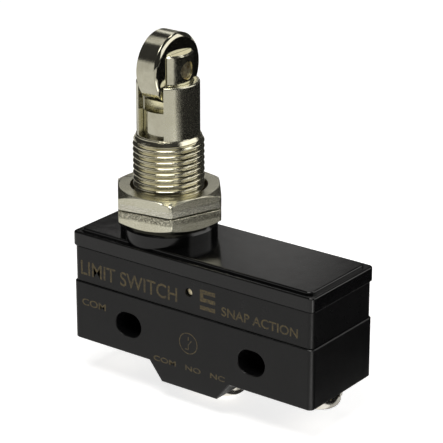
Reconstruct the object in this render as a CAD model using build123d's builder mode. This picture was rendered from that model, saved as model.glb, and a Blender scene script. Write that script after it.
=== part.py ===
from build123d import *
import os

# Limit switch: a snap-action basic switch in a three-piece moulded case, with a threaded metal
# bushing on top that guides a spring-loaded plunger, and a roller in the plunger's fork.
# Millimetres. The origin is midway between the two side mounting slots, in the middle of the
# body's width. +X runs along the body away from the bushing, and +Z points up to the roller.

# Body, all three mouldings
body_length = 49.2
body_width = 17.4
corner_radius = 1.0
edge_chamfer = 0.15
cap_edge_radius = 0.3
wall = 1.3
base_bottom_z = -5.25
base_top_z = 5.3
cover_top_z = 11.65
cover_setback = 0.2
cap_overhang = 0.04
rim_top_z = 14.15
plateau_top_z = 14.65
plateau_inset = 1.0
plateau_corner_radius = 1.2
foot_bottom_z = -8.5
foot_top_half_length = 8.3
foot_bottom_half_length = 5.7

# Side mounting slots
slot_pitch = 25.4
slot_length = 5.4
slot_height = 4.2
slot_chamfer = 0.12

# Cavities of the base and the cover
trough_floor_z = 3.5
end_well_floor_z = 0.4
end_well_inner_x = 17.2
middle_well_floor_z = -2.9
middle_well_half_length = 8.0
cover_ceiling_z = 10.1
cross_pin_z = 9.02
cross_pin_radius = 0.7
cross_pin_recess = 0.5
button_guide_wall = 1.3
button_guide_drop = 1.2

# Bushing and nuts
bushing_x = -10.6
boss_radius = 8.15
boss_shoulder_z = 16.45
boss_top_z = 17.45
boss_top_radius = 7.4
flange_radius = 7.2
flange_bottom_z = 11.7
flange_top_z = 13.2
thread_radius = 6.0
thread_root_radius = 5.55
thread_pitch = 1.0
thread_groove = 0.45
thread_relief = 0.6
thread_top_z = 32.1
thread_turns = (-5, 9)
barrel_radius = 5.25
barrel_foot_step = 0.05
barrel_top_z = 41.2
barrel_chamfer = 0.3
barrel_inner_chamfer = 0.15
barrel_slot_width = 5.2
barrel_slot_floor_z = 32.25
guide_bore_radius = 4.2
spring_bore_radius = 4.75
bushing_floor_z = 14.0
bushing_shoulder_z = 26.0
nut_across_flats = 17.0
nut_thickness = 2.7
nut_gap = 0.2
thread_start_gap = 0.55
nut_bore_radius = 6.05
nut_countersink = 0.75
nut_corner_chamfer = 1.3
nut_corner_drop = 0.7
nut_back_chamfer = (0.15, 0.15)
nut_vertex_angle = 9.7
lower_nut_z = 17.5

# Plunger, roller and springs
plunger_radius = 4.15
plunger_flange_radius = 4.7
plunger_bottom_z = 24.0
plunger_top_z = 46.15
plunger_pocket_radius = 2.9
plunger_pocket_top_z = 34.0
plunger_stop_gap = 0.05
fork_chamfer = 0.3
fork_edge_chamfer = 0.16
fork_width = 4.72
fork_floor_z = 36.5
roller_radius = 5.98
roller_width = 4.56
roller_bevel_width = 0.5
roller_bevel_height = 0.7
roller_z = 43.4
axle_radius = 1.48
axle_length = 7.5
axle_seat_clearance = 0.02
axle_running_clearance = 0.07
return_spring_radius = 4.0
return_spring_wire_radius = 0.35
return_spring_turns = 6
overtravel_spring_radius = 2.2
overtravel_spring_wire_radius = 0.28
overtravel_spring_turns = 8
spring_end_gap = 0.02
seat_top_z = 14.8
push_rod_radius = 1.4
push_rod_hole_radius = 1.5
push_rod_head_radius = 2.7
push_rod_head_z = (22.9, 24.3)
push_rod_nose = (1.5, 1.5)
button_radius = 1.9
button_guide_radius = 1.96
button_top_z = 11.2
button_pretravel = 0.42
button_tip_radius = 0.9
button_tip_bulge = (1.4, 0.25)
button_tip_height = 0.9
button_top_chamfer = 0.2

# Contact system
hinge_x = -19.6
blade_half_width = 3.0
blade_z = (6.0, 6.3)
blade_window_x = (-7.0, 10.0)
blade_window_half_width = 1.7
tongue_half_width = 1.2
tongue_tip_x = -5.9
tongue_rise = 1.3
tongue_root_overlap = 0.1
contact_x = 15.5
contact_radius = 1.75
contact_rivet_radius = 0.97
contact_height = 0.6
contact_rest_gap = 0.03
anchor_rivet_radius = 0.78
anchor_rivet_head_radius = 1.5
anchor_rivet_play = 0.3
anchor_gap = 0.2
anchor_top_z = 6.7
anchor_foot_end_x = 0.5
anchor_foot_half_width = 4.5
common_shelf_end_x = -17.0
blade_x = (-22.0, 17.7)
shelf_gap = 0.1
sheet = 0.8
contact_gap = 0.55

# Terminals and their screws
end_screw_x = 20.3
middle_screw_x = 1.3
end_plate_z = (-5.7, -4.9)
middle_plate_z = (-8.75, -7.95)
end_plate_x = (16.8, 23.15)
middle_plate_x = (-2.8, 5.2)
plate_half_width = 3.8
riser_half_width = 2.0
screw_radius = 1.95
screw_hole_radius = 2.0
screw_length = 5.0
screw_head_radius = 3.5
screw_head_height = 2.15
screw_head_fillet = 1.1
screw_relief_radius = 2.25
end_screw_hole_z = -0.8
middle_screw_hole_z = -3.9
driver_slot = (4.4, 0.9, 1.1)
washer_thickness = 0.55
washer_radius = 3.75
washer_teeth = 12
washer_notch = (1.4, 0.6)
clearance = 0.1
moulding_clearance = 0.03

os.makedirs("parts", exist_ok=True)

bushing_axis = Axis((bushing_x, 0, 0), (0, 0, 1))
low = (Align.CENTER, Align.CENTER, Align.MIN)


def block(x, y, z, mode=Mode.ADD):
    """A box between the (low, high) limits given along each axis."""
    with Locations(((x[0] + x[1]) / 2, (y[0] + y[1]) / 2, (z[0] + z[1]) / 2)):
        Box(x[1] - x[0], y[1] - y[0], z[1] - z[0], mode=mode)


def upright(x, radius, z, mode=Mode.ADD):
    """A vertical cylinder on the mid-plane, between the (low, high) heights."""
    with Locations((x, 0, z[0])):
        Cylinder(radius, z[1] - z[0], align=low, mode=mode)


def revolved(profile):
    """A solid of revolution about the bushing's axis, from its (radius, height) outline."""
    with BuildSketch(Plane.XZ) as half_section:
        with BuildLine():
            Polyline([(bushing_x + r, z) for r, z in profile], close=True)
        make_face()
    revolve(half_section.sketch, axis=bushing_axis)


def moulded_slab(length, width, z):
    """A slab with rounded vertical corners, between the (low, high) heights."""
    with BuildSketch(Plane.XY.offset(z[0])) as plan:
        RectangleRounded(length, width, corner_radius)
    extrude(plan.sketch, amount=z[1] - z[0])


def case_pocket(x, half_width, z):
    """Cuts a pocket with clearance all round a terminal's plate or riser."""
    deep = half_width + clearance
    block((x[0] - clearance, x[1] + clearance), (-deep, deep), z, Mode.SUBTRACT)


# Base: the lower half of the case, with the mounting slots and the trapezoid foot
base_outline = [
    (-body_length / 2, base_top_z),
    (-body_length / 2, base_bottom_z),
    (-foot_top_half_length, base_bottom_z),
    (-foot_bottom_half_length, foot_bottom_z),
    (foot_bottom_half_length, foot_bottom_z),
    (foot_top_half_length, base_bottom_z),
    (body_length / 2, base_bottom_z),
    (body_length / 2, base_top_z),
]
inner_half_length = body_length / 2 - wall
inner_half_width = body_width / 2 - wall
end_riser_x = (end_plate_x[1] - sheet, end_plate_x[1])
middle_riser_x = (middle_plate_x[1] - sheet, middle_plate_x[1])

with BuildPart() as base_case:
    with BuildSketch(Plane.XZ):
        with BuildLine():
            Polyline(base_outline, close=True)
        make_face()
    extrude(amount=body_width / 2, both=True)
    fillet(base_case.edges().filter_by(Axis.Z), corner_radius)
    top_and_bottom = base_case.edges().filter_by(Axis.Z, reverse=True)
    foot_reach = foot_top_half_length + corner_radius
    across_foot = top_and_bottom.filter_by(Axis.Y).filter_by(lambda e: abs(e.center().X) < foot_reach)
    chamfer([e for e in top_and_bottom if e not in across_foot], edge_chamfer)
    across = (-inner_half_width, inner_half_width)
    trough = (-inner_half_length, inner_half_length)
    block(trough, across, (trough_floor_z, base_top_z), Mode.SUBTRACT)
    middle = (-middle_well_half_length, middle_well_half_length)
    block(middle, across, (middle_well_floor_z, trough_floor_z), Mode.SUBTRACT)
    for side in (-1, 1):
        well = sorted((side * end_well_inner_x, side * inner_half_length))
        block(well, across, (end_well_floor_z, trough_floor_z), Mode.SUBTRACT)
        plate = sorted(side * x for x in end_plate_x)
        case_pocket(plate, plate_half_width, (base_bottom_z, end_plate_z[1]))
        riser = sorted(side * x for x in end_riser_x)
        case_pocket(riser, riser_half_width, (base_bottom_z, end_well_floor_z))
        screw_hole_z = (base_bottom_z, end_screw_hole_z)
        upright(side * end_screw_x, screw_relief_radius, screw_hole_z, Mode.SUBTRACT)
    case_pocket(middle_plate_x, plate_half_width, (foot_bottom_z, middle_plate_z[1]))
    case_pocket(middle_riser_x, riser_half_width, (foot_bottom_z, middle_well_floor_z))
    screw_hole_z = (foot_bottom_z, middle_screw_hole_z)
    upright(middle_screw_x, screw_relief_radius, screw_hole_z, Mode.SUBTRACT)
    with BuildSketch(Plane.XZ):
        with GridLocations(slot_pitch, 0, 2, 1):
            SlotOverall(slot_length, slot_height)
    extrude(amount=body_width, both=True, mode=Mode.SUBTRACT)
    slot_rims = base_case.edges(Select.LAST).group_by(Axis.Y)
    chamfer(slot_rims[0] + slot_rims[-1], slot_chamfer)
base_case.part.label = "base_case"
export_step(base_case.part, "parts/base_case.step")

# Middle cover: closes the contact chamber and guides the button
cover_length = body_length - 2 * cover_setback
cover_width = body_width - 2 * cover_setback
with BuildPart() as middle_cover:
    moulded_slab(cover_length, cover_width, (base_top_z, cover_top_z))
    chamfer(middle_cover.faces().sort_by(Axis.Z)[-1].edges(), edge_chamfer)
    chamfer(middle_cover.faces().sort_by(Axis.Z)[0].edges(), edge_chamfer)
    half_length = inner_half_length - clearance
    half_width = inner_half_width - clearance
    chamber = (base_top_z, cover_ceiling_z)
    block((-half_length, half_length), (-half_width, half_width), chamber, Mode.SUBTRACT)
    guide_bottom_z = cover_ceiling_z - button_guide_drop
    guide_outer_radius = button_radius + button_guide_wall
    upright(bushing_x, guide_outer_radius, (guide_bottom_z, cover_ceiling_z))
    upright(bushing_x, button_guide_radius, (guide_bottom_z, cover_top_z), Mode.SUBTRACT)
    with Locations((0, 0, cross_pin_z)):
        pin_hole_radius = cross_pin_radius + moulding_clearance
        Cylinder(pin_hole_radius, body_width, rotation=(90, 0, 0), mode=Mode.SUBTRACT)
middle_cover.part.label = "middle_cover"
export_step(middle_cover.part, "parts/middle_cover.step")

# Top cap: rim, raised plateau and the boss round the bushing
cap_length = body_length + 2 * cap_overhang
cap_width = body_width + 2 * cap_overhang
with BuildPart() as top_cap:
    moulded_slab(cap_length, cap_width, (cover_top_z, rim_top_z))
    fillet(top_cap.faces().sort_by(Axis.Z)[-1].edges(), cap_edge_radius)
    chamfer(top_cap.faces().sort_by(Axis.Z)[0].edges(), edge_chamfer)
    with BuildSketch(Plane.XY.offset(rim_top_z)):
        RectangleRounded(
            cap_length - 2 * plateau_inset, cap_width - 2 * plateau_inset, plateau_corner_radius
        )
    extrude(amount=plateau_top_z - rim_top_z)
    fillet(top_cap.faces().sort_by(Axis.Z)[-1].edges(), cap_edge_radius)
    revolved(
        [
            (0, rim_top_z - cap_edge_radius),
            (boss_radius, rim_top_z - cap_edge_radius),
            (boss_radius, boss_shoulder_z),
            (boss_top_radius, boss_top_z),
            (0, boss_top_z),
        ]
    )
    flange_pocket = (cover_top_z, flange_top_z + moulding_clearance)
    upright(bushing_x, flange_radius + moulding_clearance, flange_pocket, Mode.SUBTRACT)
    boss_hole = (cover_top_z, boss_top_z)
    upright(bushing_x, thread_radius + moulding_clearance, boss_hole, Mode.SUBTRACT)
top_cap.part.label = "top_cap"
export_step(top_cap.part, "parts/top_cap.step")

# Cross pin through the cover's two long walls, its ends set back from the faces
with BuildPart() as cross_pin:
    with Locations((0, 0, cross_pin_z)):
        Cylinder(cross_pin_radius, cover_width - 2 * cross_pin_recess, rotation=(90, 0, 0))
    chamfer(cross_pin.edges().filter_by(GeomType.CIRCLE), edge_chamfer)
cross_pin.part.label = "cross_pin"
export_step(cross_pin.part, "parts/cross_pin.step")

# Bushing: flange in the cap, thread as rings at the real pitch, and the slotted barrel.
# The groove just above the upper nut is a wider relief, and the free thread starts above it.
upper_nut_z = lower_nut_z + nut_thickness + nut_gap
free_thread_z = upper_nut_z + nut_thickness + thread_start_gap
bushing_outline = [
    (push_rod_hole_radius, flange_bottom_z),
    (flange_radius, flange_bottom_z),
    (flange_radius, flange_top_z),
    (thread_radius, flange_top_z),
]
for turn in range(*thread_turns):
    crest_z = free_thread_z + turn * thread_pitch
    groove = thread_relief if turn == 0 else thread_groove
    bushing_outline += [
        (thread_radius, crest_z - groove),
        (thread_root_radius, crest_z - groove / 2),
        (thread_radius, crest_z),
    ]
bushing_outline += [
    (barrel_radius + barrel_foot_step, thread_top_z),
    (barrel_radius, thread_top_z),
    (barrel_radius, barrel_top_z - barrel_chamfer),
    (barrel_radius - barrel_chamfer, barrel_top_z),
    (guide_bore_radius + barrel_inner_chamfer, barrel_top_z),
    (guide_bore_radius, barrel_top_z - barrel_inner_chamfer),
    (guide_bore_radius, bushing_shoulder_z),
    (spring_bore_radius, bushing_shoulder_z),
    (spring_bore_radius, bushing_floor_z),
    (push_rod_hole_radius, bushing_floor_z),
]
with BuildPart() as bushing:
    revolved(bushing_outline)
    slot_x = (bushing_x - barrel_slot_width / 2, bushing_x + barrel_slot_width / 2)
    block(slot_x, (-thread_radius, thread_radius), (barrel_slot_floor_z, barrel_top_z), Mode.SUBTRACT)
bushing.part.label = "bushing"
export_step(bushing.part, "parts/bushing.step")

# Spring seat: the washer that the return spring stands on
with BuildPart() as spring_seat:
    seat_z = (bushing_floor_z, seat_top_z)
    upright(bushing_x, spring_bore_radius - clearance, seat_z)
    upright(bushing_x, push_rod_hole_radius + clearance, seat_z, Mode.SUBTRACT)
spring_seat.part.label = "spring_seat"
export_step(spring_seat.part, "parts/spring_seat.step")

# Two thin hexagon nuts: the lower one has its chamfered corners down, the upper one up
nut_corner_radius = nut_across_flats / 3**0.5
chamfer_radius = nut_corner_radius - nut_corner_chamfer
for node, nut_z, chamfered_down in (
    ("lower_nut", lower_nut_z, True),
    ("upper_nut", upper_nut_z, False),
):
    chamfer_z = nut_z if chamfered_down else nut_z + nut_thickness
    square_z = nut_z + nut_thickness if chamfered_down else nut_z
    inward = 1 if chamfered_down else -1
    with BuildPart() as nut:
        with BuildSketch(Plane((bushing_x, 0, nut_z))):
            RegularPolygon(nut_corner_radius, 6, rotation=nut_vertex_angle)
        extrude(amount=nut_thickness)
        with BuildSketch(Plane.XZ):
            with BuildLine():
                Polyline(
                    (bushing_x, chamfer_z),
                    (bushing_x + chamfer_radius, chamfer_z),
                    (bushing_x + nut_corner_radius, chamfer_z + inward * nut_corner_drop),
                    (bushing_x + nut_corner_radius, square_z - inward * nut_back_chamfer[1]),
                    (bushing_x + nut_corner_radius - nut_back_chamfer[0], square_z),
                    (bushing_x, square_z),
                    close=True,
                )
            make_face()
        revolve(axis=bushing_axis, mode=Mode.INTERSECT)
        upright(bushing_x, nut_bore_radius, (nut_z, nut_z + nut_thickness), Mode.SUBTRACT)
        bore_rims = nut.edges().filter_by(GeomType.CIRCLE).sort_by(SortBy.RADIUS)[:2]
        chamfer(bore_rims, nut_countersink)
    nut.part.label = node
    export_step(nut.part, f"parts/{node}.step")

# Plunger: a hollow piston with a retaining flange, and the fork for the roller
with BuildPart() as plunger:
    revolved(
        [
            (0, plunger_bottom_z),
            (plunger_flange_radius, plunger_bottom_z),
            (plunger_flange_radius, bushing_shoulder_z - plunger_stop_gap),
            (plunger_radius, bushing_shoulder_z - plunger_stop_gap),
            (plunger_radius, plunger_top_z - fork_chamfer),
            (plunger_radius - fork_chamfer, plunger_top_z),
            (0, plunger_top_z),
        ]
    )
    fork_x = (bushing_x - fork_width / 2, bushing_x + fork_width / 2)
    block(fork_x, (-plunger_radius, plunger_radius), (fork_floor_z, plunger_top_z), Mode.SUBTRACT)
    upright_edges = plunger.edges().filter_by(Axis.Z)
    chamfer(upright_edges.filter_by(lambda e: abs(e.center().Y) > fork_width / 2), fork_edge_chamfer)
    pocket_z = (plunger_bottom_z, plunger_pocket_top_z)
    upright(bushing_x, plunger_pocket_radius, pocket_z, Mode.SUBTRACT)
    with Locations((bushing_x, 0, roller_z)):
        seat_radius = axle_radius + axle_seat_clearance
        Cylinder(seat_radius, 2 * plunger_radius, rotation=(0, 90, 0), mode=Mode.SUBTRACT)
plunger.part.label = "plunger"
export_step(plunger.part, "parts/plunger.step")

# Roller: a plain steel disc with bevelled edges, turning on its axle
with BuildPart() as roller:
    with Locations((bushing_x, 0, roller_z)):
        Cylinder(roller_radius, roller_width, rotation=(0, 90, 0))
    for disc_face in roller.faces().filter_by(Axis.X):
        chamfer(disc_face.edges(), roller_bevel_height, roller_bevel_width, reference=disc_face)
    with Locations((bushing_x, 0, roller_z)):
        bore_radius = axle_radius + axle_running_clearance
        Cylinder(bore_radius, roller_width, rotation=(0, 90, 0), mode=Mode.SUBTRACT)
roller.part.label = "roller"
export_step(roller.part, "parts/roller.step")

# Roller axle: riveted in the fork, its ends just under the fork's round sides
with BuildPart() as roller_axle:
    with Locations((bushing_x, 0, roller_z)):
        Cylinder(axle_radius, axle_length, rotation=(0, 90, 0))
    chamfer(roller_axle.edges().filter_by(GeomType.CIRCLE), edge_chamfer)
roller_axle.part.label = "roller_axle"
export_step(roller_axle.part, "parts/roller_axle.step")


def coil_spring(coil_radius, wire_radius, z, turns):
    """A compression spring on the bushing's axis, between the (low, high) heights."""
    height = z[1] - z[0] - 2 * wire_radius
    with BuildLine() as coil:
        Helix(height / turns, height, coil_radius, center=(bushing_x, 0, z[0] + wire_radius))
    with BuildSketch(Plane(coil.line @ 0, z_dir=coil.line % 0)) as wire:
        Circle(wire_radius)
    sweep(wire.sketch, path=coil.line, is_frenet=True)


# Return spring: pushes the plunger's flange back up against the bushing's shoulder
with BuildPart() as return_spring:
    coil_spring(
        return_spring_radius,
        return_spring_wire_radius,
        (seat_top_z + spring_end_gap, plunger_bottom_z - spring_end_gap),
        return_spring_turns,
    )
return_spring.part.label = "return_spring"
export_step(return_spring.part, "parts/return_spring.step")

# Overtravel spring: inside the plunger, takes up the travel after the button has bottomed
with BuildPart() as overtravel_spring:
    coil_spring(
        overtravel_spring_radius,
        overtravel_spring_wire_radius,
        (push_rod_head_z[1] + spring_end_gap, plunger_pocket_top_z - spring_end_gap),
        overtravel_spring_turns,
    )
overtravel_spring.part.label = "overtravel_spring"
export_step(overtravel_spring.part, "parts/overtravel_spring.step")

# Push rod: carries the overtravel spring's force down to the button
with BuildPart() as push_rod:
    upright(bushing_x, push_rod_radius, (button_top_z, push_rod_head_z[0]))
    upright(bushing_x, push_rod_head_radius, push_rod_head_z)
    nose_radius, nose_height = push_rod_nose
    upright(bushing_x, nose_radius, (push_rod_head_z[1], push_rod_head_z[1] + nose_height))
push_rod.part.label = "push_rod"
export_step(push_rod.part, "parts/push_rod.step")

# Plunger button: the basic switch's own moulded button, rounded where it meets the blade
button_tip_z = blade_z[1] + button_pretravel
with BuildPart() as plunger_button:
    revolved(
        [
            (0, button_tip_z),
            (button_tip_radius, button_tip_z),
            (button_tip_bulge[0], button_tip_z + button_tip_bulge[1]),
            (button_radius, button_tip_z + button_tip_height),
            (button_radius, button_top_z - button_top_chamfer),
            (button_radius - button_top_chamfer, button_top_z),
            (0, button_top_z),
        ]
    )
plunger_button.part.label = "plunger_button"
export_step(plunger_button.part, "parts/plunger_button.step")

# Snap blade: a sprung strip with a window, and a bowed tongue whose tip faces the anchor
with BuildPart() as snap_blade:
    block(blade_x, (-blade_half_width, blade_half_width), blade_z)
    window_y = (-blade_window_half_width, blade_window_half_width)
    block(blade_window_x, window_y, blade_z, Mode.SUBTRACT)
    upright(hinge_x, anchor_rivet_radius + anchor_rivet_play, blade_z, Mode.SUBTRACT)
    upright(contact_x, contact_rivet_radius + moulding_clearance, blade_z, Mode.SUBTRACT)
    middle_x = (tongue_tip_x + blade_window_x[1]) / 2
    thickness = blade_z[1] - blade_z[0]
    with BuildSketch(Plane.XZ):
        with BuildLine():
            lower = ThreePointArc(
                (tongue_tip_x, blade_z[0]),
                (middle_x, blade_z[0] + tongue_rise),
                (blade_window_x[1] + tongue_root_overlap, blade_z[0]),
            )
            right = Line(lower @ 1, lower @ 1 + (0, thickness))
            upper = ThreePointArc(
                right @ 1,
                (middle_x, blade_z[1] + tongue_rise),
                (tongue_tip_x, blade_z[1]),
            )
            Line(upper @ 1, lower @ 0)
        make_face()
    extrude(amount=tongue_half_width, both=True)
snap_blade.part.label = "snap_blade"
export_step(snap_blade.part, "parts/snap_blade.step")

# Moving contact: a rivet through the blade's free end, with a face on each side
moving_contact_z = (blade_z[0] - contact_height, blade_z[1] + contact_height)
with BuildPart() as moving_contact:
    upright(contact_x, contact_radius, (moving_contact_z[0], blade_z[0]))
    upright(contact_x, contact_rivet_radius, moving_contact_z)
    upright(contact_x, contact_radius, (blade_z[1], moving_contact_z[1]))
moving_contact.part.label = "moving_contact"
export_step(moving_contact.part, "parts/moving_contact.step")

# Common terminal: plate under the base, riser through it, and the shelf that holds the blade
common_shelf_z = (blade_z[0] - shelf_gap - sheet, blade_z[0] - shelf_gap)
riser_y = (-riser_half_width, riser_half_width)
plate_y = (-plate_half_width, plate_half_width)
with BuildPart() as common_terminal:
    block((-end_plate_x[1], -end_plate_x[0]), plate_y, end_plate_z)
    block((-end_riser_x[1], -end_riser_x[0]), riser_y, (end_plate_z[0], common_shelf_z[1]))
    block((-end_riser_x[1], common_shelf_end_x), riser_y, common_shelf_z)
    upright(-end_screw_x, screw_hole_radius, end_plate_z, Mode.SUBTRACT)
    upright(hinge_x, anchor_rivet_radius + moulding_clearance, common_shelf_z, Mode.SUBTRACT)
common_terminal.part.label = "common_terminal"
export_step(common_terminal.part, "parts/common_terminal.step")

# Anchor rivet: holds the blade's root down on the common terminal's shelf
with BuildPart() as anchor_rivet:
    rivet_bottom_z = common_shelf_z[0] - contact_height
    head_z = (blade_z[1] + shelf_gap, blade_z[1] + shelf_gap + contact_height)
    upright(hinge_x, anchor_rivet_head_radius, (rivet_bottom_z, common_shelf_z[0]))
    upright(hinge_x, anchor_rivet_radius, (rivet_bottom_z, head_z[1]))
    upright(hinge_x, anchor_rivet_head_radius, head_z)
anchor_rivet.part.label = "anchor_rivet"
export_step(anchor_rivet.part, "parts/anchor_rivet.step")

# Blade anchor: the fixed bracket that the tongue's tip bears against
anchor_x = (tongue_tip_x - anchor_gap - sheet, tongue_tip_x - anchor_gap)
with BuildPart() as blade_anchor:
    anchor_y = (-tongue_half_width, tongue_half_width)
    block(anchor_x, anchor_y, (middle_well_floor_z, anchor_top_z))
    foot_z = (middle_well_floor_z, middle_well_floor_z + sheet)
    block((anchor_x[0], anchor_foot_end_x), (-anchor_foot_half_width, anchor_foot_half_width), foot_z)
blade_anchor.part.label = "blade_anchor"
export_step(blade_anchor.part, "parts/blade_anchor.step")

# Normally open terminal: from the foot up through the middle well to under the moving contact
no_contact_top_z = moving_contact_z[0] - contact_gap
no_arm_z = (trough_floor_z + moulding_clearance, trough_floor_z + moulding_clearance + sheet)
with BuildPart() as no_terminal:
    block(middle_plate_x, plate_y, middle_plate_z)
    block(middle_riser_x, riser_y, (middle_plate_z[0], no_arm_z[1]))
    block((middle_riser_x[0], contact_x + riser_half_width), riser_y, no_arm_z)
    upright(middle_screw_x, screw_hole_radius, middle_plate_z, Mode.SUBTRACT)
no_terminal.part.label = "no_terminal"
export_step(no_terminal.part, "parts/no_terminal.step")

with BuildPart() as no_contact:
    upright(contact_x, contact_radius, (no_arm_z[1], no_contact_top_z))
    chamfer(no_contact.edges().sort_by(Axis.Z)[-1], edge_chamfer)
no_contact.part.label = "no_contact"
export_step(no_contact.part, "parts/no_contact.step")

# Normally closed terminal: its shelf hangs over the moving contact
nc_contact_bottom_z = moving_contact_z[1] + contact_rest_gap
nc_shelf_bottom_z = nc_contact_bottom_z + contact_height
nc_shelf_z = (nc_shelf_bottom_z, nc_shelf_bottom_z + sheet)
with BuildPart() as nc_terminal:
    block(end_plate_x, plate_y, end_plate_z)
    block(end_riser_x, riser_y, (end_plate_z[0], nc_shelf_z[1]))
    block((contact_x - riser_half_width, end_riser_x[1]), riser_y, nc_shelf_z)
    upright(end_screw_x, screw_hole_radius, end_plate_z, Mode.SUBTRACT)
nc_terminal.part.label = "nc_terminal"
export_step(nc_terminal.part, "parts/nc_terminal.step")

with BuildPart() as nc_contact:
    upright(contact_x, contact_radius, (nc_contact_bottom_z, nc_shelf_z[0]))
    chamfer(nc_contact.edges().sort_by(Axis.Z)[0], edge_chamfer)
nc_contact.part.label = "nc_contact"
export_step(nc_contact.part, "parts/nc_contact.step")

# Terminal screws with their toothed washers, one of each under every terminal plate
for name, screw_x, plate_bottom_z in (
    ("common", -end_screw_x, end_plate_z[0]),
    ("no", middle_screw_x, middle_plate_z[0]),
    ("nc", end_screw_x, end_plate_z[0]),
):
    head_top_z = plate_bottom_z - washer_thickness
    head_bottom_z = head_top_z - screw_head_height
    with BuildPart() as screw:
        upright(screw_x, screw_head_radius, (head_bottom_z, head_top_z))
        fillet(screw.edges().sort_by(Axis.Z)[0], screw_head_fillet)
        upright(screw_x, screw_radius, (head_top_z, head_top_z + screw_length))
        chamfer(screw.edges().sort_by(Axis.Z)[-1], 2 * edge_chamfer)
        for angle in (0, 90):
            with Locations((screw_x, 0, head_bottom_z)):
                Box(*driver_slot, rotation=(0, 0, angle), align=low, mode=Mode.SUBTRACT)
    screw.part.label = f"{name}_screw"
    export_step(screw.part, f"parts/{name}_screw.step")

    with BuildPart() as washer:
        upright(screw_x, washer_radius, (head_top_z, plate_bottom_z))
        upright(screw_x, screw_radius + clearance, (head_top_z, plate_bottom_z), Mode.SUBTRACT)
        with BuildSketch(Plane((screw_x, 0, head_top_z))):
            with PolarLocations(washer_radius, washer_teeth):
                Rectangle(washer_notch[0], washer_notch[1])
        extrude(amount=washer_thickness, mode=Mode.SUBTRACT)
    washer.part.label = f"{name}_washer"
    export_step(washer.part, f"parts/{name}_washer.step")
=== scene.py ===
import math

import bmesh
import bpy
from mathutils import Matrix, Vector


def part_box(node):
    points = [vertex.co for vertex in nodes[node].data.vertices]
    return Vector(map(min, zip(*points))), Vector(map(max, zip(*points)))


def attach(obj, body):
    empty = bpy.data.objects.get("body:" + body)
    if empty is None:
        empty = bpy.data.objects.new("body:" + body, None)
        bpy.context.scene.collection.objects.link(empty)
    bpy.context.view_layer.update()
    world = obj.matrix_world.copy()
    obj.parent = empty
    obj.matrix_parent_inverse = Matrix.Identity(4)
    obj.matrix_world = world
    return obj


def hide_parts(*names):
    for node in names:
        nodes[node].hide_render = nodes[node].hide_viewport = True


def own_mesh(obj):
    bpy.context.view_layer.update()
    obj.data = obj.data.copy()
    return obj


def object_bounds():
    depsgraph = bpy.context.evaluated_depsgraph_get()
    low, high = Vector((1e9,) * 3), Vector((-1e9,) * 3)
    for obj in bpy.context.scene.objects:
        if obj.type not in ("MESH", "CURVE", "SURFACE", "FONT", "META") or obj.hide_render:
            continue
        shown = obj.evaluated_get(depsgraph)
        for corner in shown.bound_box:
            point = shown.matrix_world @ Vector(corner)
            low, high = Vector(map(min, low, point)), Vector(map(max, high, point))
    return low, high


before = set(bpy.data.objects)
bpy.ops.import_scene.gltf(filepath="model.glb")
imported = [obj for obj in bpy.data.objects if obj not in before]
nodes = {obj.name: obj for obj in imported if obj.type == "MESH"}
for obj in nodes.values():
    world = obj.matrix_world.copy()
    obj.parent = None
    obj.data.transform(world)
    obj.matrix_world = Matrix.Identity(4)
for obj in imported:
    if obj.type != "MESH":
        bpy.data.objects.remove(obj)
cad_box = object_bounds()

# The frame is in metres: +X runs along the body away from the bushing, -Y is the front, and +Z
# points up to the roller. Sizes here are in mm where their names or notes say so.
MM = 0.001
TURN = 2 * math.pi

bushing_low, bushing_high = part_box("bushing")
roller_low, roller_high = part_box("roller")
axis_x = (bushing_low.x + bushing_high.x) / 2
base_front_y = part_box("base_case")[0].y
cover_front_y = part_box("middle_cover")[0].y
nut_gap_z = (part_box("lower_nut")[1].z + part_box("upper_nut")[0].z) / 2

# Sizes in mm that more than one piece uses
barrel_radius = 5.25
barrel_bore_radius = 4.2
crease_angle = math.radians(32)


# ---------------------------------------------------------------- materials

def material_nodes(name, colour, metallic, roughness):
    """A new material with its shader's plain values set, and what is needed to add nodes to it."""
    material = bpy.data.materials.new(name)
    material.use_nodes = True
    tree = material.node_tree
    shader = tree.nodes["Principled BSDF"]
    shader.inputs["Base Color"].default_value = (*colour, 1)
    shader.inputs["Metallic"].default_value = metallic
    shader.inputs["Roughness"].default_value = roughness
    return material, tree, shader


def object_place(tree, stretch=(1, 1, 1)):
    """The point on the object, in metres, stretched along each axis."""
    place = tree.nodes.new("ShaderNodeTexCoord")
    mapping = tree.nodes.new("ShaderNodeMapping")
    mapping.inputs["Scale"].default_value = stretch
    tree.links.new(place.outputs["Object"], mapping.inputs["Vector"])
    return mapping.outputs["Vector"]


def split_z(tree, vector):
    """The vector's Z."""
    node = tree.nodes.new("ShaderNodeSeparateXYZ")
    tree.links.new(vector, node.inputs["Vector"])
    return node.outputs["Z"]


def noise(tree, place, size_mm, detail=3, roughness=0.55):
    """A noise whose features are about size_mm across."""
    node = tree.nodes.new("ShaderNodeTexNoise")
    node.inputs["Scale"].default_value = 1 / (size_mm * MM)
    node.inputs["Detail"].default_value = detail
    node.inputs["Roughness"].default_value = roughness
    tree.links.new(place, node.inputs["Vector"])
    return node.outputs["Fac"]


def spread(tree, value, low, high, from_low=0.35, from_high=0.65):
    """The value stretched from its usual range to the range from low to high."""
    node = tree.nodes.new("ShaderNodeMapRange")
    node.inputs["From Min"].default_value = from_low
    node.inputs["From Max"].default_value = from_high
    node.inputs["To Min"].default_value = low
    node.inputs["To Max"].default_value = high
    tree.links.new(value, node.inputs["Value"])
    return node.outputs["Result"]


def blend_colours(tree, factor, first, second):
    """The first colour where the factor is 0, and the second where it is 1."""
    node = tree.nodes.new("ShaderNodeMix")
    node.data_type = "RGBA"
    node.inputs["A"].default_value = (*first, 1)
    node.inputs["B"].default_value = (*second, 1)
    tree.links.new(factor, node.inputs["Factor"])
    return node.outputs["Result"]


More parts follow.
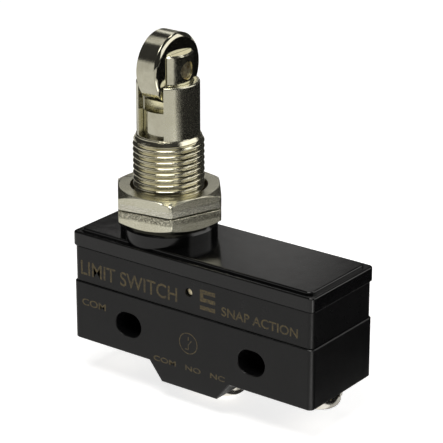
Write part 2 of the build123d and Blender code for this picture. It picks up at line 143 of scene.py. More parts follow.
def calculate(tree, operation, *values):
    """The result of a math node on the values, each one a socket or a number."""
    node = tree.nodes.new("ShaderNodeMath")
    node.operation = operation
    for socket, value in zip(node.inputs, values):
        if isinstance(value, (int, float)):
            socket.default_value = value
        else:
            tree.links.new(value, socket)
    return node.outputs[0]


def add_bump(tree, shader, height, depth_mm):
    """Bumps of about depth_mm on the surface, over those that it has already."""
    node = tree.nodes.new("ShaderNodeBump")
    node.inputs["Distance"].default_value = depth_mm * MM
    node.inputs["Strength"].default_value = 1.0
    tree.links.new(height, node.inputs["Height"])
    before = shader.inputs["Normal"].links
    if before:
        tree.links.new(before[0].from_socket, node.inputs["Normal"])
    tree.links.new(node.outputs["Normal"], shader.inputs["Normal"])


def moulded_plastic(name, colour, roughness, specular):
    """Black phenolic: a faint mottle, uneven gloss, and the fine grain of the moulding."""
    material, tree, shader = material_nodes(name, colour, 0.0, roughness)
    shader.inputs["Specular IOR Level"].default_value = specular
    place = object_place(tree)
    mottle = spread(tree, noise(tree, place, 6.0, 4), 0, 1)
    darker = tuple(c * 0.7 for c in colour)
    tree.links.new(blend_colours(tree, mottle, darker, colour), shader.inputs["Base Color"])
    gloss = noise(tree, place, 1.3, 5, 0.65)
    uneven = spread(tree, gloss, roughness * 0.82, roughness * 1.2)
    tree.links.new(uneven, shader.inputs["Roughness"])
    add_bump(tree, shader, noise(tree, place, 0.22, 4, 0.7), 0.006)
    add_bump(tree, shader, noise(tree, place, 3.5, 2), 0.02)
    return material


def plated_metal(name, colour, tarnish, roughness, grain=(1, 1, 1), speckle_mm=0.18, depth_mm=0.004,
                 stain_mm=2.6):
    """Plated metal: two close tones, uneven gloss, grain stretched along an axis, and speckles."""
    material, tree, shader = material_nodes(name, colour, 1.0, roughness)
    place = object_place(tree)
    stain = spread(tree, noise(tree, place, stain_mm, 5, 0.6), 0, 1, 0.4, 0.7)
    tree.links.new(blend_colours(tree, stain, colour, tarnish), shader.inputs["Base Color"])
    lines = noise(tree, object_place(tree, grain), 0.35, 5, 0.65)
    uneven = spread(tree, lines, roughness * 0.7, roughness * 1.45)
    tree.links.new(uneven, shader.inputs["Roughness"])
    add_bump(tree, shader, lines, depth_mm * 1.2)
    add_bump(tree, shader, noise(tree, place, speckle_mm, 3, 0.7), depth_mm)
    return material


def punched_metal(name, colour, tarnish, roughness, painted_gap_tone):
    """A plated nut: brushed smooth, and grainy beside the gap between the nuts, where the grain is painted in
    the last tone given: painted shade on the lower nut and a painted highlight on the upper nut.
    """
    material = plated_metal(name, colour, tarnish, roughness, grain=(5, 5, 5), depth_mm=0.0006, stain_mm=5)
    tree = material.node_tree
    shader = tree.nodes["Principled BSDF"]
    place = object_place(tree)
    from_gap = calculate(tree, "ABSOLUTE", calculate(tree, "SUBTRACT", split_z(tree, place), nut_gap_z))
    uneven = calculate(tree, "MULTIPLY_ADD", noise(tree, place, 0.7, 4), 0.4 * MM, from_gap)
    # The band within about 1.4 mm of the gap between the nuts: its grit is real bumps, and its tone there is
    # painted light, painted shade on the lower nut and a painted highlight on the upper nut
    gap_band = spread(tree, uneven, 1, 0, 1.3 * MM, 1.6 * MM)
    grit = spread(tree, noise(tree, place, 0.18, 3, 0.75), 0, 1, 0.44, 0.56)
    gap_grit_and_painted_tone = calculate(tree, "MULTIPLY", gap_band, grit)
    smooth_colour = shader.inputs["Base Color"].links[0].from_socket
    mixed = blend_colours(tree, gap_grit_and_painted_tone, colour, painted_gap_tone)
    tree.links.new(smooth_colour, mixed.node.inputs["A"])
    tree.links.new(mixed, shader.inputs["Base Color"])
    add_bump(tree, shader, gap_grit_and_painted_tone, 0.02)
    # The brushing runs down the flats only, where the surface faces sideways
    facing = tree.nodes.new("ShaderNodeNewGeometry")
    upward = calculate(tree, "ABSOLUTE", split_z(tree, facing.outputs["Normal"]))
    side = spread(tree, upward, 1, 0, 0.2, 0.5)
    brushing = noise(tree, object_place(tree, (6, 6, 0.4)), 0.5, 4, 0.6)
    add_bump(tree, shader, calculate(tree, "MULTIPLY", side, brushing), 0.005)
    return material


def spotted_print(name, colour, worn_colour):
    """Thin print, worn through in spots."""
    material, tree, shader = material_nodes(name, colour, 0.0, 0.5)
    wear = spread(tree, noise(tree, object_place(tree), 0.5, 4, 0.7), 0, 1, 0.42, 0.62)
    tree.links.new(blend_colours(tree, wear, colour, worn_colour), shader.inputs["Base Color"])
    return material


nickel = (0.72, 0.70, 0.56)
nickel_shade = (0.65, 0.625, 0.48)
rubbed_shade = (0.62, 0.595, 0.46)
polished = (0.56, 0.54, 0.44)
case_black = (0.0042, 0.0042, 0.0046)
cap_black = (0.003, 0.003, 0.0033)
# Tones painted on the grit beside the gap between the nuts: painted shade on the lower nut, and a painted
# highlight on the upper nut
gap_painted_shade = (0.15, 0.14, 0.1)
gap_painted_highlight = (1.0, 0.98, 0.86)

materials = {
    "base_plastic": moulded_plastic("base_plastic", case_black, 0.34, 0.36),
    "cover_plastic": moulded_plastic("cover_plastic", case_black, 0.32, 0.38),
    "cap_plastic": moulded_plastic("cap_plastic", cap_black, 0.13, 0.55),
    "bushing_nickel": plated_metal("bushing_nickel", nickel, nickel_shade, 0.21, grain=(2.5, 2.5, 2.5),
                                   speckle_mm=0.12, depth_mm=0.0012, stain_mm=4.0),
    "thread_nickel": plated_metal("thread_nickel", (0.80, 0.768, 0.61), (0.68, 0.64, 0.46), 0.14,
                                  grain=(0.5, 0.5, 5), depth_mm=0.007),
    # Beside the gap, the lower nut's grit carries painted shade, and the upper nut's grit carries a painted
    # highlight
    "nut_nickel": punched_metal("nut_nickel", (0.86, 0.84, 0.68), (0.74, 0.71, 0.55), 0.24, gap_painted_shade),
    "upper_nut_nickel": punched_metal("upper_nut_nickel", (0.78, 0.76, 0.61), (0.7, 0.67, 0.52), 0.22,
                                      gap_painted_highlight),
    # Painted shade: a dark metal for the nuts' countersinks and bores, standing in for the shade deep inside
    # them
    "nut_bore_painted_shade": plated_metal("nut_bore_painted_shade", (0.2, 0.17, 0.11), (0.1, 0.08, 0.05), 0.35),
    "plunger_steel": plated_metal("plunger_steel", nickel, rubbed_shade, 0.15, grain=(3, 3, 0.6)),
    "roller_steel": plated_metal("roller_steel", nickel, rubbed_shade, 0.15, grain=(0.35, 6, 6)),
    "roller_face": plated_metal("roller_face", polished, nickel_shade, 0.08, depth_mm=0.0012),
    "pin_steel": plated_metal("pin_steel", (0.95, 0.86, 0.6), (0.4, 0.28, 0.11), 0.34,
                              depth_mm=0.012, stain_mm=1.1),
    "spring_steel": plated_metal("spring_steel", (0.5, 0.49, 0.47), (0.36, 0.34, 0.31), 0.24),
    "blade_copper": plated_metal("blade_copper", (0.62, 0.34, 0.2), (0.5, 0.26, 0.14), 0.28),
    "terminal_brass": plated_metal("terminal_brass", (0.66, 0.5, 0.25), (0.5, 0.36, 0.17), 0.27),
    "contact_silver": plated_metal("contact_silver", (0.8, 0.78, 0.74), (0.6, 0.57, 0.5), 0.26),
    "button_plastic": moulded_plastic("button_plastic", (0.16, 0.028, 0.018), 0.3, 0.45),
    "screw_nickel": plated_metal("screw_nickel", (0.64, 0.62, 0.57), (0.54, 0.5, 0.42), 0.13),
}
print_ink = spotted_print("print_ink", (0.095, 0.067, 0.018), (0.036, 0.027, 0.010))

node_slots = {
    "base_plastic": ["base_case"],
    "cover_plastic": ["middle_cover"],
    "cap_plastic": ["top_cap"],
    "bushing_nickel": ["bushing"],
    "nut_nickel": ["lower_nut", "upper_nut"],
    "plunger_steel": ["plunger", "push_rod"],
    "roller_steel": ["roller"],
    "pin_steel": ["roller_axle", "cross_pin"],
    "spring_steel": ["return_spring", "overtravel_spring", "spring_seat"],
    "blade_copper": ["snap_blade"],
    "terminal_brass": ["common_terminal", "no_terminal", "nc_terminal", "blade_anchor", "anchor_rivet"],
    "contact_silver": ["moving_contact", "no_contact", "nc_contact"],
    "button_plastic": ["plunger_button"],
    "screw_nickel": [f"{n}_{part}" for n in ("common", "no", "nc") for part in ("screw", "washer")],
}
for slot_name, members in node_slots.items():
    for member in members:
        for material_slot in nodes[member].material_slots:
            material_slot.material = materials[slot_name]


# ---------------------------------------------------------------- pieces

def new_object(name, data):
    """An object with that data, in the scene's collection."""
    thing = bpy.data.objects.new(name, data)
    bpy.context.scene.collection.objects.link(thing)
    return thing


def new_mesh(name, points, faces):
    """A mesh from its points and faces."""
    mesh = bpy.data.meshes.new(name)
    mesh.from_pydata(points, [], faces)
    return mesh


def mesh_piece(name, points, faces, slot_name, body, replaced=(), bevel_mm=0.0, look=None):
    """A piece from its points and faces, welded, shaded smooth across soft edges, and riding on its body."""
    mesh = new_mesh(name, points, faces)
    shape = bmesh.new()
    shape.from_mesh(mesh)
    bmesh.ops.remove_doubles(shape, verts=shape.verts, dist=1e-7)
    bmesh.ops.dissolve_degenerate(shape, edges=shape.edges, dist=1e-7)
    bmesh.ops.recalc_face_normals(shape, faces=shape.faces)
    shape.to_mesh(mesh)
    shape.free()
    mesh.shade_smooth()
    mesh.set_sharp_from_angle(angle=crease_angle)
    mesh.materials.append(materials[look or slot_name])
    piece = new_object(name, mesh)
    if bevel_mm:
        bevel = piece.modifiers.new("edges", "BEVEL")
        bevel.width = bevel_mm * MM
        bevel.segments = 2
        bevel.limit_method = "ANGLE"
        bevel.angle_limit = crease_angle
        bevel.harden_normals = True
    flatten = piece.modifiers.new("flatten", "WEIGHTED_NORMAL")
    flatten.keep_sharp = True
    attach(piece, body)
    if replaced:
        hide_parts(*replaced)
    return piece


def ring_faces(rings, count, closed=True):
    """Quads between each ring of count points and the next one, and back to the first if closed."""
    faces = []
    for i in range(rings if closed else rings - 1):
        j = (i + 1) % rings
        for k in range(count):
            n = (k + 1) % count
            faces.append((i * count + k, i * count + n, j * count + n, j * count + k))
    return faces


def swept_faces(sections, size):
    """Quads between each closed section of size points and the next one, and a cap at each end."""
    faces = []
    for section in range(sections - 1):
        for k in range(size):
            a, b = section * size + k, section * size + (k + 1) % size
            faces.append((a, b, b + size, a + size))
    faces.append(tuple(range(size)))
    faces.append(tuple(range((sections - 1) * size, sections * size)))
    return faces


def about_axis(centre_x, radius_mm, angle, z_mm):
    """A point at that radius and angle from an upright axis through centre_x."""
    radius = radius_mm * MM
    return (centre_x + radius * math.cos(angle), radius * math.sin(angle), z_mm * MM)


def helical_thread(centre_x, columns, pitch, crest, root, z_range, lead_slopes):
    """Points and faces of a right-handed thread's outside, in mm, from root ring to root ring.

    lead_slopes are how fast the radius may grow from the low end and from the high end."""
    low_z, high_z = z_range
    depth = crest - root
    # Along one turn, as (share of the pitch, share of the depth), with a rounded root and crest
    root_flat = [(0, 0), (0.06, 0)]
    rising = [(0.14, 0.1), (0.34, 0.74), (0.42, 0.93), (0.5, 1)]
    falling = [(0.56, 1), (0.64, 0.93), (0.72, 0.74), (0.92, 0.1)]
    one_turn = root_flat + rising + falling
    starts = [
        (low_z + (step - 1 + share) * pitch, root + part * depth)
        for step in range(math.ceil((high_z - low_z) / pitch) + 2)
        for share, part in one_turn
    ]
    rows = len(starts)
    points, faces = [], []
    for column in range(columns):
        for start_z, radius in starts:
            z = min(max(start_z + pitch * column / columns, low_z), high_z)
            lead = min(lead_slopes[0] * (z - low_z), lead_slopes[1] * (high_z - z))
            radius = min(radius, root + lead)
            points.append(about_axis(centre_x, radius, TURN * column / columns, z))
    for column in range(columns - 1):
        for row in range(rows - 1):
            a, b = column * rows + row, (column + 1) * rows + row
            faces.append((a, b, b + 1, a + 1))
    # The last column meets the first one a whole turn higher
    for row in range(rows - 1 - len(one_turn)):
        a, b = (columns - 1) * rows + row, row + len(one_turn)
        faces.append((a, b, b + 1, a + 1))
    return points, faces


def add_turned(points, faces, centre_x, columns, outline):
    """Adds the surface turned about an upright axis from an outline of (radius, height) in mm."""
    first = len(points)
    for radius, z in outline:
        for k in range(columns):
            points.append(about_axis(centre_x, radius, TURN * k / columns, z))
    faces.extend(tuple(first + i for i in face) for face in ring_faces(len(outline), columns, closed=False))


def threaded_bushing():
    """Flange, M12 x 1 thread cut as one right-handed helix, and the bores, as one closed mesh."""
    columns = 144
    pitch, crest, root = 1.0, 5.96, 5.38
    flange_radius = (bushing_high.x - bushing_low.x) / 2 / MM
    flange_bottom_z, flange_top_z = bushing_low.z / MM, 13.2
    thread_top_z, slot_floor_z = 32.1, 32.25
    spring_bore_radius, spring_z = 4.75, (14, 26)
    rod_hole_radius = 1.5
    thread_z = (flange_top_z, thread_top_z)
    points, faces = helical_thread(axis_x, columns, pitch, crest, root, thread_z, (1.0, 0.5))
    outline = [
        (root, thread_top_z),
        (barrel_radius, thread_top_z + 0.1),
        (barrel_radius, slot_floor_z),
        (barrel_bore_radius, slot_floor_z),
        (barrel_bore_radius, spring_z[1]),
        (spring_bore_radius, spring_z[1]),
        (spring_bore_radius, spring_z[0]),
        (rod_hole_radius, spring_z[0]),
        (rod_hole_radius, flange_bottom_z),
        (flange_radius, flange_bottom_z),
        (flange_radius, flange_top_z),
        (root, flange_top_z),
    ]
    add_turned(points, faces, axis_x, columns, outline)
    return mesh_piece("bushing_thread", points, faces, "bushing_nickel", "case", ["bushing"],
                      look="thread_nickel")


def barrel_shell(name, side):
    """One of the barrel's two walls, beside the slot, with rounded rims and planar slot sides."""
    half_slot, columns = 2.6, 49
    # The foot is sunk a little into the threaded part, below the slot's floor
    low_z, high_z = 31.9, bushing_high.z / MM
    rim, inner_rim = 0.3, 0.15
    outer, inner = barrel_radius, barrel_bore_radius
    profile = [(inner, low_z), (inner, high_z - inner_rim)]
    for share in (0.35, 0.7, 1.0):
        turn = share * math.pi / 2
        profile.append((inner + inner_rim * (1 - math.cos(turn)), high_z - inner_rim * (1 - math.sin(turn))))
    for share in (0, 0.2, 0.4, 0.6, 0.8, 1.0):
        turn = share * math.pi / 2
        profile.append((outer - rim * (1 - math.sin(turn)), high_z - rim * (1 - math.cos(turn))))
    profile.append((outer, low_z))
    first_angle = 0 if side > 0 else math.pi
    points = []
    for column in range(columns):
        share = 2 * column / (columns - 1) - 1
        for radius, z in profile:
            angle = first_angle + share * math.acos(half_slot / radius)
            points.append(about_axis(axis_x, radius, angle, z))
    faces = swept_faces(columns, len(profile))
    return mesh_piece(name, points, faces, "bushing_nickel", "case", ["bushing"], bevel_mm=0.05)


def rounded_hexagon(half_flats, corner_rounding, first_corner):
    """A hexagon's outline as (angle, radius) pairs, with arcs at its corners and short steps between them."""
    arc_centre = (half_flats - corner_rounding) / math.cos(math.pi / 6)
    arc_step, steps_along_flat = math.radians(7.5), 24
    outline = []
    for corner in range(6):
        corner_angle = first_corner + corner * math.pi / 3
        for step in range(-4, 5):
            along = arc_centre + corner_rounding * math.cos(arc_step * step)
            across = corner_rounding * math.sin(arc_step * step)
            outline.append((corner_angle + math.atan2(across, along), math.hypot(along, across)))
        arc_end = math.atan2(across, along)
        for step in range(1, steps_along_flat):
            turn = arc_end + (math.pi / 3 - 2 * arc_end) * step / steps_along_flat
            outline.append((corner_angle + turn, half_flats / math.cos(math.pi / 6 - turn)))
    return outline


def hexagon_nut(name, chamfered_down, look):
    """A thin nut: rounded hexagon cut by the chamfer's cone, countersunk bore in a dark metal that is painted
    shade, and softened edges.
    """
    low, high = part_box(name)
    thickness = (high.z - low.z) / MM
    half_flats, corner_rounding, first_corner = 8.5, 0.7, math.radians(9.7)
    corner_cut, chamfer_slope = 1.37, 0.7 / 1.3
    chamfer_radius = half_flats / math.cos(math.pi / 6) - corner_cut
    bore, sink_radius, sink_depth = 6.05, 6.5, 1.1
    edge, lip = 0.07, 0.17
    angles, hexagon_radii = zip(*rounded_hexagon(half_flats, corner_rounding, first_corner))
    profiles = []
    for hexagon in hexagon_radii:
        drop = max(0.0, (hexagon - chamfer_radius) * chamfer_slope)
        profiles.append([
            (bore, sink_depth),
            (sink_radius, 0),
            (chamfer_radius - 2 * edge, 0),
            (chamfer_radius - edge * 0.6, edge * 0.2),
            (hexagon - edge * 0.5, drop + edge * 0.2),
            (hexagon, drop + edge),
            (hexagon, thickness - lip),
            (hexagon - lip * 0.12, thickness - lip * 0.62),
            (hexagon - lip * 0.45, thickness - lip * 0.2),
            (hexagon - lip, thickness),
            (sink_radius, thickness),
            (bore, thickness - sink_depth),
        ])
    rings = len(profiles[0])
    points = []
    for ring in range(rings):
        for angle, profile in zip(angles, profiles):
            radius, depth = profile[ring]
            z = low.z / MM + depth if chamfered_down else high.z / MM - depth
            points.append(about_axis(axis_x, radius, angle, z))
    faces = ring_faces(rings, len(angles))
    nut = mesh_piece(name + "_body", points, faces, "nut_nickel", name, [name], look=look)
    # The countersink and bore take the dark metal, painted shade for the shade down in the bore
    nut.data.materials.append(materials["nut_bore_painted_shade"])
    for polygon in nut.data.polygons:
        from_axis = polygon.center - Vector((axis_x, 0, polygon.center.z))
        polygon.material_index = int(from_axis.length < (sink_radius - edge) * MM)
    return nut


def roller_disc():
    """The roller: a turned ring with wide bevels, softened edges and polished sides."""
    columns = 192
    radius = (roller_high.z - roller_low.z) / 2 / MM
    half_width = (roller_high.x - roller_low.x) / 2 / MM
    centre_z = (roller_high.z + roller_low.z) / 2
    bore, bore_edge, soft = 1.55, 0.1, 0.07
    bevel_width, bevel_height = 0.5, 0.7
    bevel_foot = radius - bevel_height
    profile = [
        (bore, half_width - bore_edge),
        (bore + bore_edge, half_width),
        (bevel_foot - soft, half_width),
        (bevel_foot + soft * 0.5, half_width - soft * 0.3),
        (radius - soft * 0.6, half_width - bevel_width + soft * 0.3),
        (radius, half_width - bevel_width - soft),
    ]
    profile += [(r, -x) for r, x in reversed(profile)]
    points = []
    for r, x in profile:
        for k in range(columns):
            turn = TURN * k / columns
            points.append((axis_x + x * MM, r * MM * math.cos(turn), centre_z + r * MM * math.sin(turn)))
    faces = ring_faces(len(profile), columns)
    disc = mesh_piece("roller_disc", points, faces, "roller_steel", "roller", ["roller"])
    disc.data.materials.append(materials["roller_face"])
    for polygon in disc.data.polygons:
        polygon.material_index = int(abs(polygon.normal.x) > 0.5)
    return disc


def cross_recess(centre_x, bottom_z):
    """The shape that a screwdriver's cross leaves in a head: two tapered bars through each other."""
    half_length, half_width = 2.0, 0.42
    mouth = (bottom_z - 0.5, 1.18)
    floor_end = (bottom_z + 1.15, 0.62)
    quads = [(0, 3, 2, 1), (4, 5, 6, 7), (0, 1, 5, 4), (1, 2, 6, 5), (2, 3, 7, 6), (3, 0, 4, 7)]
    points, faces = [], []
    for half_x, half_y in ((half_length, half_width), (half_width, half_length)):
        first = len(points)
        for z, share in (mouth, floor_end):
            reach_x, reach_y = half_x * share, half_y * (0.5 + share / 2)
            for side_x, side_y in ((-1, -1), (1, -1), (1, 1), (-1, 1)):
                points.append((centre_x + side_x * reach_x * MM, side_y * reach_y * MM, z * MM))
        faces += [tuple(first + i for i in quad) for quad in quads]
    return new_object("recess", new_mesh("recess", points, faces))


def terminal_screw(name):
    """A pan-head terminal screw: domed head with a tapered cross recess, and a threaded shank."""
    low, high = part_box(name)
    centre_x = (low.x + high.x) / 2
    bottom, top = low.z / MM, high.z / MM
    columns = 96
    pitch, crest, root, tip = 0.7, 1.95, 1.6, 0.05
    head_top, head_radius, rim = bottom + 2.15, 3.5, 0.12
    fillet, fillet_drop, dome = 1.2, 1.1, 0.2
    crown_radius, crown_drop = 1.2, 0.06
    thread_z = (head_top, top - tip)
    points, faces = helical_thread(centre_x, columns, pitch, crest, root, thread_z, (3.0, 0.7))
    add_turned(points, faces, centre_x, columns, [(root, top - tip), (root - 2 * tip, top), (0, top)])
    head = [(root, head_top), (head_radius - rim, head_top), (head_radius, head_top - rim)]
    for step in range(1, 9):
        turn = math.pi / 2 * step / 8
        across = head_radius - fillet + fillet * math.cos(turn)
        head.append((across, bottom + dome + fillet_drop * (1 - math.sin(turn))))
    head += [(crown_radius, bottom + crown_drop), (0, bottom)]
    add_turned(points, faces, centre_x, columns, head)
    screw = mesh_piece(name + "_turned", points, faces, "screw_nickel", name, [name])
    cutter = cross_recess(centre_x, bottom)
    cut = screw.modifiers.new("recess", "BOOLEAN")
    cut.operation = "DIFFERENCE"
    cut.solver = "EXACT"
    cut.use_self = True
    cut.object = cutter
    shaped = bpy.data.meshes.new_from_object(screw.evaluated_get(bpy.context.evaluated_depsgraph_get()))
    shaped.set_sharp_from_angle(angle=crease_angle)
    screw.modifiers.remove(cut)
    screw.data = shaped
    bpy.data.objects.remove(cutter)
    return screw


def coil(name, node, body, turns, wire_mm):
    """A round-wire spring with closed ends, as a mesh."""
    low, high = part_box(node)
    low_z, high_z = low.z / MM + wire_mm, high.z / MM - wire_mm
    centre_radius = (high.x - low.x) / 2 / MM - wire_mm
    steps, round_wire = turns * 40, 12
    points = []
    for step in range(steps + 1):
        share = step / steps
        for k in range(round_wire):
            turn = TURN * k / round_wire
            radius = centre_radius + wire_mm * math.cos(turn)
            z = low_z + share * (high_z - low_z) + wire_mm * math.sin(turn)
            points.append(about_axis(axis_x, radius, TURN * turns * share, z))
    faces = swept_faces(steps + 1, round_wire)
    return mesh_piece(name, points, faces, "spring_steel", body, [node])


def printed_text(name, words, height_mm, x_range_mm, base_z_mm, face_y):
    """A line of thin printed letters on the front face, fitted between two places along X."""
    capital_share = 0.7
    curve = bpy.data.curves.new(name, "FONT")
    curve.body = words
    curve.size = height_mm * MM / capital_share
    curve.extrude = 0.004 * MM
    curve.offset = 0.03 * MM
    curve.materials.append(print_ink)
    piece = new_object(name, curve)
    bpy.context.view_layer.update()
    stretch = (x_range_mm[1] - x_range_mm[0]) * MM / piece.dimensions.x
    place = Matrix.Translation((x_range_mm[0] * MM, face_y, base_z_mm * MM))
    piece.matrix_world = place @ Matrix.Rotation(math.pi / 2, 4, "X") @ Matrix.Diagonal((stretch, 1, 1, 1))
    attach(piece, "case")
    return piece


def printed_shape(name, outlines, face_y):
    """Thin printed patches on the front face, from outlines of (x, z) points in mm."""
    points, faces = [], []
    film = 0.006 * MM
    for outline in outlines:
        count, first = len(outline), len(points)
        for y in (face_y - film, face_y + film):
            points += [(x * MM, y, z * MM) for x, z in outline]
        faces.append(tuple(range(first, first + count)))
        faces.append(tuple(range(first + 2 * count - 1, first + count - 1, -1)))
        for k in range(count):
            n = (k + 1) % count
            faces.append((first + k, first + n, first + count + n, first + count + k))
    mesh = new_mesh(name, points, faces)
    mesh.materials.append(print_ink)
    piece = new_object(name, mesh)
    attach(piece, "case")
    return piece


def rectangle(x_range, z_range):
    """The outline of an upright rectangle."""
    (left, right), (low, high) = x_range, z_range
    return [(left, low), (right, low), (right, high), (left, high)]


def printed_mark(name, x_range, z_range, face_y):
    """A plain mark of three bars, two of them joined at their ends."""
    left, low = x_range[0], z_range[0]
    bar = (z_range[1] - low) / 5
    patches = [rectangle(x_range, (low + 2 * k * bar, low + (2 * k + 1) * bar)) for k in range(3)]
    patches.append(rectangle((left, left + bar), (low + 3 * bar, low + 4 * bar)))
    return printed_shape(name, patches, face_y)


def printed_symbol(name, centre, radius, face_y):
    """A ring with a plain switch-contact symbol in it."""
    x, z = centre
    line, steps = 0.16, 48
    reach, gap_low, gap_high = radius * 0.62, z - 0.3, z + 0.55
    stroke = (x - line / 2, x + line / 2)
    patches = []
    for k in range(steps):
        corners = [(radius, k), (radius, k + 1), (radius - line, k + 1), (radius - line, k)]
        turns = [(r, TURN * step / steps) for r, step in corners]
        patches.append([(x + r * math.cos(turn), z + r * math.sin(turn)) for r, turn in turns])
    patches.append(rectangle(stroke, (z - reach, gap_low)))
    patches.append(rectangle(stroke, (gap_high, z + reach)))
    patches.append([(stroke[0], gap_low), (stroke[1], gap_low), (x + 0.75, gap_high), (x + 0.55, z + 0.6)])
    patches.append(rectangle((x - 0.7, stroke[0]), (z - reach, z - reach + line)))
    return printed_shape(name, patches, face_y)


def shorten_with_plunger(spring):
    """Gives the spring its own copy of its mesh."""
    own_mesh(spring)


threaded_bushing()
barrel_shell("barrel_wall_right", 1)
barrel_shell("barrel_wall_left", -1)
hexagon_nut("lower_nut", True, "nut_nickel")
hexagon_nut("upper_nut", False, "upper_nut_nickel")
roller_disc()
for terminal in ("common", "no", "nc"):
    terminal_screw(f"{terminal}_screw")
return_coil = coil("return_coil", "return_spring", "case", 6, 0.35)
overtravel_coil = coil("overtravel_coil", "overtravel_spring", "actuator", 8, 0.28)
shorten_with_plunger(return_coil)
shorten_with_plunger(overtravel_coil)

cover_line_z = 6.7
printed_text("print_name", "LIMIT SWITCH", 2.5, (-23.2, -2.6), cover_line_z, cover_front_y)
printed_text("print_kind", "SNAP ACTION", 1.55, (6.6, 21.6), cover_line_z, cover_front_y)
printed_text("print_left", "COM", 1.2, (-22.8, -17.6), 1.2, base_front_y)
printed_text("print_foot", "COM   NO   NC", 0.9, (-7.4, 7.4), -4.9, base_front_y)
printed_mark("print_mark", (2.3, 5.4), (cover_line_z, 10.2), cover_front_y)
printed_symbol("print_symbol", (0, 0), 1.9, base_front_y)


# ---------------------------------------------------------------- floor, lights and camera

warm_white = (1, 0.985, 0.955)


def glowing(name, brightness):
    """A material that gives off its own even light, with its tree and shader."""
    material, tree, shader = material_nodes(name, (0, 0, 0), 0.0, 1.0)
    shader.inputs["Specular IOR Level"].default_value = 0
    shader.inputs["Emission Color"].default_value = (*warm_white, 1)
    shader.inputs["Emission Strength"].default_value = brightness
    return material, tree, shader


def reflected_only(card, material):
    """Puts the material on the card and hides the card from everything except reflections."""
    card.data.materials.append(material)
    card.visible_camera = False
    card.visible_diffuse = False
    card.visible_shadow = False
    card.visible_transmission = False
    return card


def aim_at(thing, centre, target, facing_axis):
    """Puts the thing at the centre and turns its facing axis to the target."""
    thing.location = centre
    thing.rotation_mode = "QUATERNION"
    thing.rotation_quaternion = (Vector(target) - Vector(centre)).to_track_quat(facing_axis, "Y")


def glossy_card(name, centre, width, height, target, brightness, faded=False):
    """A card that only reflections see, facing a point, and fading towards its rim if asked."""
    w, h = width / 2, height / 2
    mesh = new_mesh(name, [(-w, -h, 0), (w, -h, 0), (w, h, 0), (-w, h, 0)], [(0, 1, 2, 3)])
    card = new_object(name, mesh)
    aim_at(card, centre, target, "Z")
    material, tree, shader = glowing(name, brightness)
    if faded:
        globe = tree.nodes.new("ShaderNodeTexGradient")
        globe.gradient_type = "SPHERICAL"
        tree.links.new(object_place(tree, (1 / w, 1 / h, 1)), globe.inputs["Vector"])
        fading = spread(tree, globe.outputs["Fac"], 0, brightness, 0, 0.7)
        tree.links.new(fading, shader.inputs["Emission Strength"])
    return reflected_only(card, material)


def floor_card(name, outline, lift_mm, brightness):
    """A flat card just over the floor that only reflections see, from its (x, y) outline in mm."""
    points = [(x * MM, y * MM, floor_z + lift_mm * MM) for x, y in outline]
    card = new_object(name, new_mesh(name, points, [tuple(range(len(points)))]))
    return reflected_only(card, glowing(name, brightness)[0])


def softbox(name, centre, width, height, brightness, colour):
    """A rectangular lamp facing the object, with its brightness as the light that leaves its face."""
    lamp = bpy.data.lights.new(name, "AREA")
    lamp.shape = "RECTANGLE"
    lamp.size = width
    lamp.size_y = height
    lamp.energy = brightness * math.pi * width * height
    lamp.color = colour
    box = new_object(name, lamp)
    aim_at(box, centre, middle, "-Z")
    box.visible_camera = False
    return box


def around(angle_deg, elevation_deg, distance):
    """The point at that angle from +X, elevation and distance from the object's middle."""
    angle, elevation = math.radians(angle_deg), math.radians(elevation_deg)
    level = math.cos(elevation)
    return middle + distance * Vector((math.cos(angle) * level, math.sin(angle) * level, math.sin(elevation)))


def pale_floor(reach):
    """A plain pale floor that gives off a little light of its own."""
    corners = [(-reach, -reach), (reach, -reach), (reach, reach), (-reach, reach)]
    mesh = new_mesh("floor", [(x, y, floor_z) for x, y in corners], [(0, 1, 2, 3)])
    material, _, shader = material_nodes("floor", (0.8, 0.8, 0.8), 0.0, 0.9)
    shader.inputs["Specular IOR Level"].default_value = 0.1
    shader.inputs["Emission Color"].default_value = (1, 1, 1, 1)
    shader.inputs["Emission Strength"].default_value = 0.78
    mesh.materials.append(material)
    floor = new_object("floor", mesh)
    return floor


def faint_world():
    """An even, faint light from all round."""
    world = bpy.data.worlds.new("studio")
    world.use_nodes = True
    background = world.node_tree.nodes["Background"]
    background.inputs["Color"].default_value = (1, 0.99, 0.97, 1)
    background.inputs["Strength"].default_value = 0.03
    bpy.context.scene.world = world
    return world


middle = Vector((0, 0, 18.85 * MM))
floor_z = cad_box[0].z - 0.15 * MM
pale_floor(4.0)
faint_world()

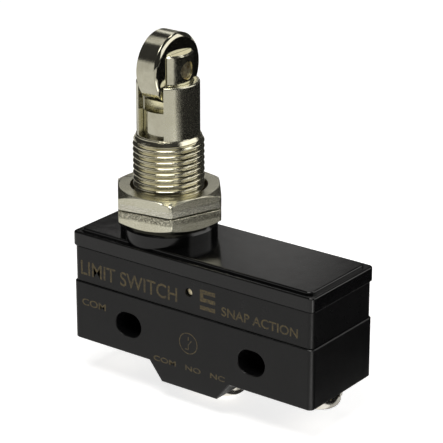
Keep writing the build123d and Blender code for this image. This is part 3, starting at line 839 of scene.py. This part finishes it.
softbox("top_light", around(-78, 66, 0.40), 0.24, 0.16, 6.5, (1, 0.985, 0.95))
softbox("left_light", around(172, 55, 0.42), 0.16, 0.05, 0.8, (1, 0.98, 0.94))
softbox("right_light", around(30, 29, 0.42), 0.52, 0.24, 1.45, warm_white)
softbox("back_light", around(76, 61, 0.42), 0.26, 0.10, 2.0, warm_white)

# The floor as the metal sees it: pale in front, and dark behind the switch and off to its right
far = 3000
end_x = 29
floor_card("grey_floor_card", [(-far, -far), (far, -far), (far, far), (-far, far)], 0.04, 0.62)
dark_right = [(end_x, -15), (117, -15), (119, -66), (far, -950)]
dark_behind = [(far, far), (-130, far), (-130, 25), (end_x, 25)]
floor_card("dark_floor_card", dark_right + dark_behind, 0.08, 0.004)

# Close under the switch: bright before the screw heads, and dark behind them and beside the foot
floor_card("screw_card", [(-25, -11.5), (end_x, -11.5), (end_x, -1), (-25, -1)], 0.06, 1.25)
# Painted shadow: a dark card seen only in reflections, where the floor under the switch lies in its shadow
under_shadow_outline = [(-23, 1), (4.2, 1), (4.2, -5.2), (6.6, -5.2), (6.6, 1), (23, 1), (23, 8.2), (-23, 8.2)]
floor_card("under_shadow_card", under_shadow_outline, 0.08, 0.03)

# A bright strip for the case's rounded corner, and cards beside and behind for the plateau and the metal
floor_card("corner_card", [(27.2, -20.4), (36.8, -7.6), (88.8, -46.6), (79.2, -59.4)], 0.12, 2.4)
glossy_card("front_left_card", around(-127, 8, 0.34), 0.26, 0.14, middle, 0.55)
glossy_card("back_left_card", (-0.126, 0.194, 0.098), 0.07, 0.085, (0.006, 0, 0.0147), 0.5, faded=True)
glossy_card("high_back_card", (-0.142, 0.182, 0.158), 0.07, 0.088, (-0.0106, 0, 0.04), 0.95)

# The camera, at an angle from the front towards the right end, and up from level
azimuth, elevation, distance = math.radians(36.838), math.radians(21.049), 342.1 * MM
aim = Vector((0.302, 0, 18.851)) * MM
level = math.cos(elevation)
back = Vector((math.sin(azimuth) * level, -math.cos(azimuth) * level, math.sin(elevation)))
camera_data = bpy.data.cameras.new("camera")
camera_data.lens = 169.67
camera_data.sensor_width = 36
camera_data.clip_start, camera_data.clip_end = 0.01, 20
camera = new_object("camera", camera_data)
aim_at(camera, aim + back * distance, aim, "-Z")
bpy.context.scene.camera = camera
bpy.context.scene.view_settings.view_transform = "Standard"
